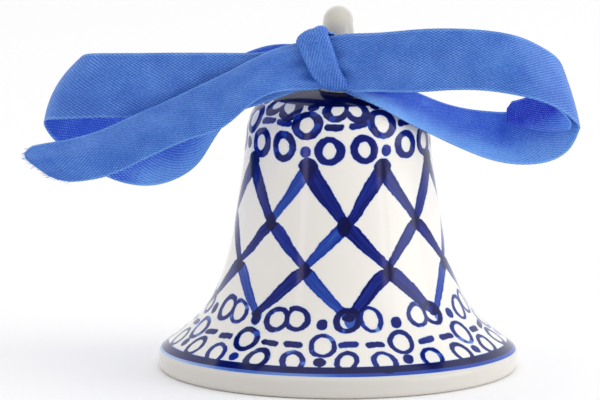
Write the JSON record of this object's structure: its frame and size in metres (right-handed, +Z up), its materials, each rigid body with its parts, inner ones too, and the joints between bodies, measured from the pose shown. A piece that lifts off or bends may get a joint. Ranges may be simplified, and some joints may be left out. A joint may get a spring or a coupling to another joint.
{
  "type": "hanging bell",
  "caption": "Small glazed ceramic bell with a trumpet flare, a hanging loop on its crown, a loose bead clapper inside and a satin ribbon tied in a bow.",
  "frame": {"origin": "on the bell's axis, in the middle of the rim's flat foot, on the surface that the bell stands on", "axes": "+Z up along the bell's axis, -Y to the front where the bow is tied, +X to the right of a person facing the front; the hanging loop stands in the YZ plane"},
  "size_m": [0.1115, 0.0718, 0.0731],
  "materials": {
    "painted_glaze": "glossy clear glaze over cobalt blue painting on off-white",
    "plain_glaze": "glossy clear glaze over plain off-white clay",
    "steel_wire": "drawn bright wire",
    "satin_ribbon": "blue satin with a fine diagonal rib"
  },
  "bodies": {
    "bell": {"bell_shell": "painted_glaze", "hanging_loop": "plain_glaze", "clapper_lug": "plain_glaze", "ribbon_collar": "satin_ribbon", "ribbon_knot": "satin_ribbon", "ribbon_right_loop": "satin_ribbon", "ribbon_tucked_tail": "satin_ribbon", "ribbon_left_loop": "satin_ribbon", "ribbon_front_tail": "satin_ribbon"},
    "link": {"link_ring": "steel_wire"},
    "clapper": {"clapper_pin": "steel_wire", "clapper_bead": "plain_glaze"}
  },
  "joints": [
    {"name": "ring_swing", "type": "hinge", "parent": "bell", "child": "link", "pos_m": [0, 0, 0.0488], "axis": [1, 0, 0], "range_deg": [-16, 16]},
    {"name": "clapper_swing", "type": "hinge", "parent": "link", "child": "clapper", "pos_m": [0, 0, 0.04445], "axis": [0, 1, 0], "range_deg": [-16, 16]}
  ]
}
